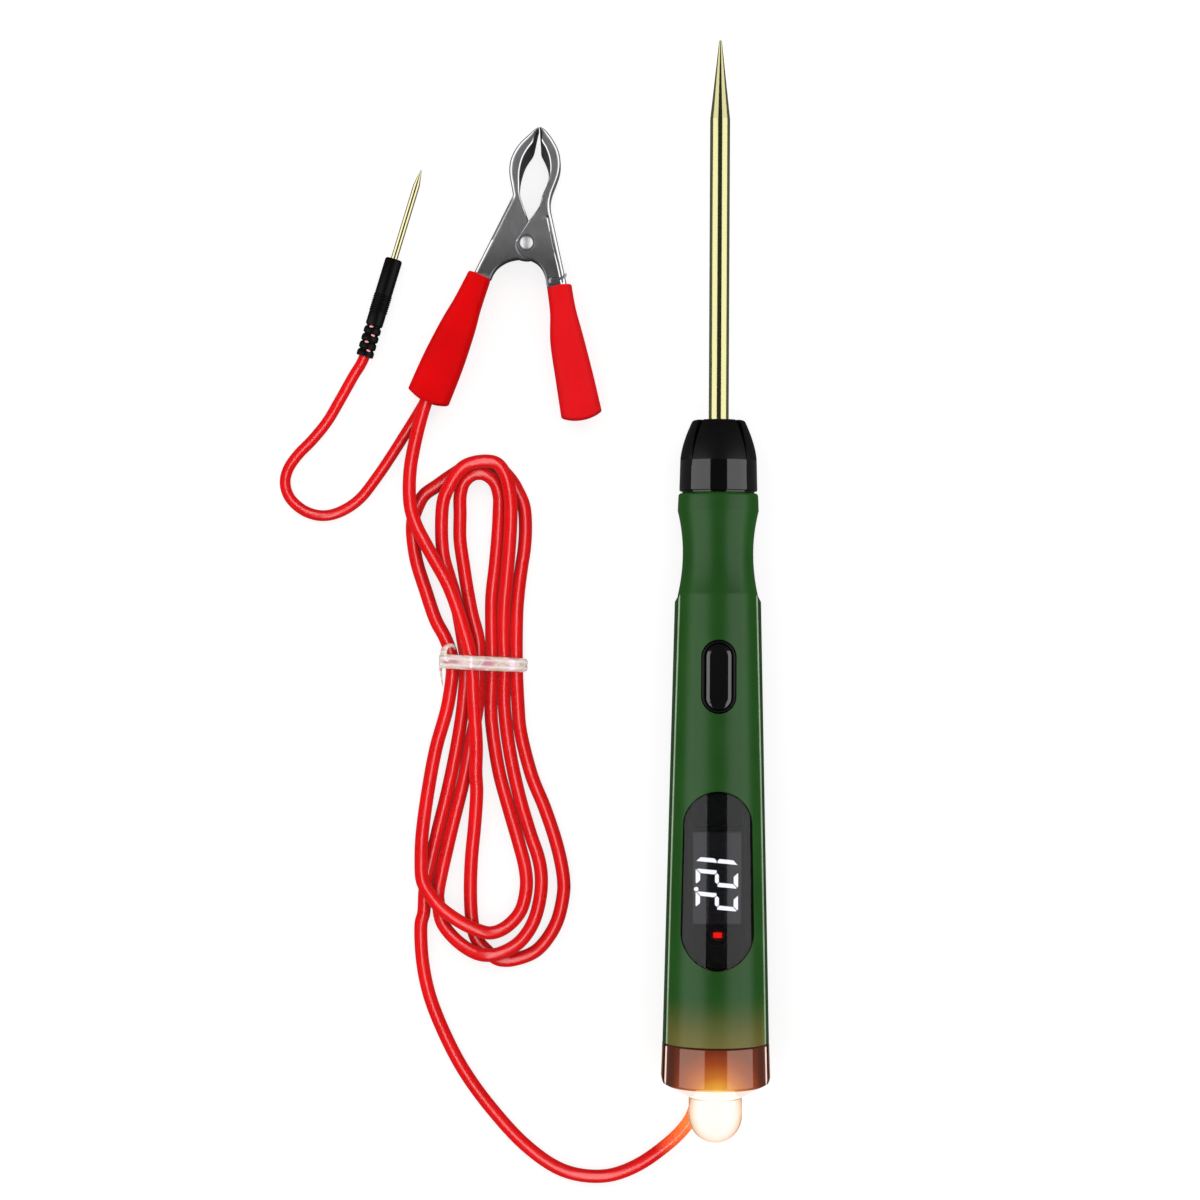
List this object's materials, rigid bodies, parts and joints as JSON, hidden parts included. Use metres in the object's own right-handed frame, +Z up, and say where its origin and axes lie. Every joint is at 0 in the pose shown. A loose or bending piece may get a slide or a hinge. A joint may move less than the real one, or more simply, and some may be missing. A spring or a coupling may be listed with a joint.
{
  "type": "automotive circuit tester",
  "caption": "Pen type circuit tester: brass probe, display window, button and rear lamp in a green barrel, with a tied red lead to a clip and a thin branch lead to a needle probe.",
  "frame": {"origin": "under the middle of the pen's length, on the surface it rests on", "axes": "+Y along the pen towards the probe tip, +Z up through the display, +X to the right"},
  "size_m": [0.0993, 0.2303, 0.0205],
  "materials": {
    "green_shell": "satin",
    "screw_steel": "satin",
    "black_gloss": "gloss",
    "cap_black": "gloss",
    "black_matte": "matte",
    "black_rubber": "matte",
    "brass": "polished",
    "board": "satin",
    "display_black": "gloss",
    "lit_segments": "lit",
    "smoked_window": "smoked, gloss",
    "red_led": "gloss",
    "plunger": "satin",
    "lens": "frosted",
    "led": "gloss",
    "red_pvc": "satin",
    "red_sleeve": "gloss",
    "clip_steel": "satin",
    "bright_steel": "bright",
    "clear_tie": "clear"
  },
  "bodies": {
    "tester": {"front_shell": "green_shell", "back_shell": "green_shell", "case_screws": "screw_steel", "nose_collar": "black_gloss", "probe_rod": "brass", "probe_socket": "brass", "circuit_board": "board", "display_module": "display_black", "display_digits": "lit_segments", "display_window": "smoked_window", "indicator_led": "red_led", "button_bezel": "black_gloss", "tact_switch": "black_matte", "end_cap": "cap_black", "lamp_lens": "lens", "lamp_led": "led", "cord_grommet": "black_rubber", "board_wire": "red_pvc", "clip_jaw_fixed": "clip_steel", "clip_rivet": "bright_steel", "clip_spring": "bright_steel", "sleeve_fixed": "red_sleeve", "wire_crimp": "bright_steel", "needle_pin": "brass", "needle_handle": "black_matte", "needle_relief": "black_rubber", "lead_tail": "red_pvc", "lead_hank": "red_pvc", "lead_clip": "red_pvc", "branch_lead": "red_pvc", "twist_tie": "clear_tie"},
    "button": {"power_button": "black_gloss", "tact_plunger": "plunger"},
    "jaw": {"clip_jaw_moving": "clip_steel", "sleeve_moving": "red_sleeve"}
  },
  "joints": [
    {"name": "button_press", "type": "slide", "parent": "tester", "child": "button", "axis": [0, -0.0189, -0.9998], "range_m": [0, 0.00035], "stiffness_N_per_m": 1200, "springref_m": -0.0006},
    {"name": "clip_pivot", "type": "hinge", "parent": "tester", "child": "jaw", "pos_m": [-0.0387, 0.0693, 0.00385], "axis": [0, 0, -1], "range_deg": [0, 30], "stiffness_Nm_per_rad": 0.12, "springref_deg": -45.84, "deforming": ["clip_spring"]}
  ]
}
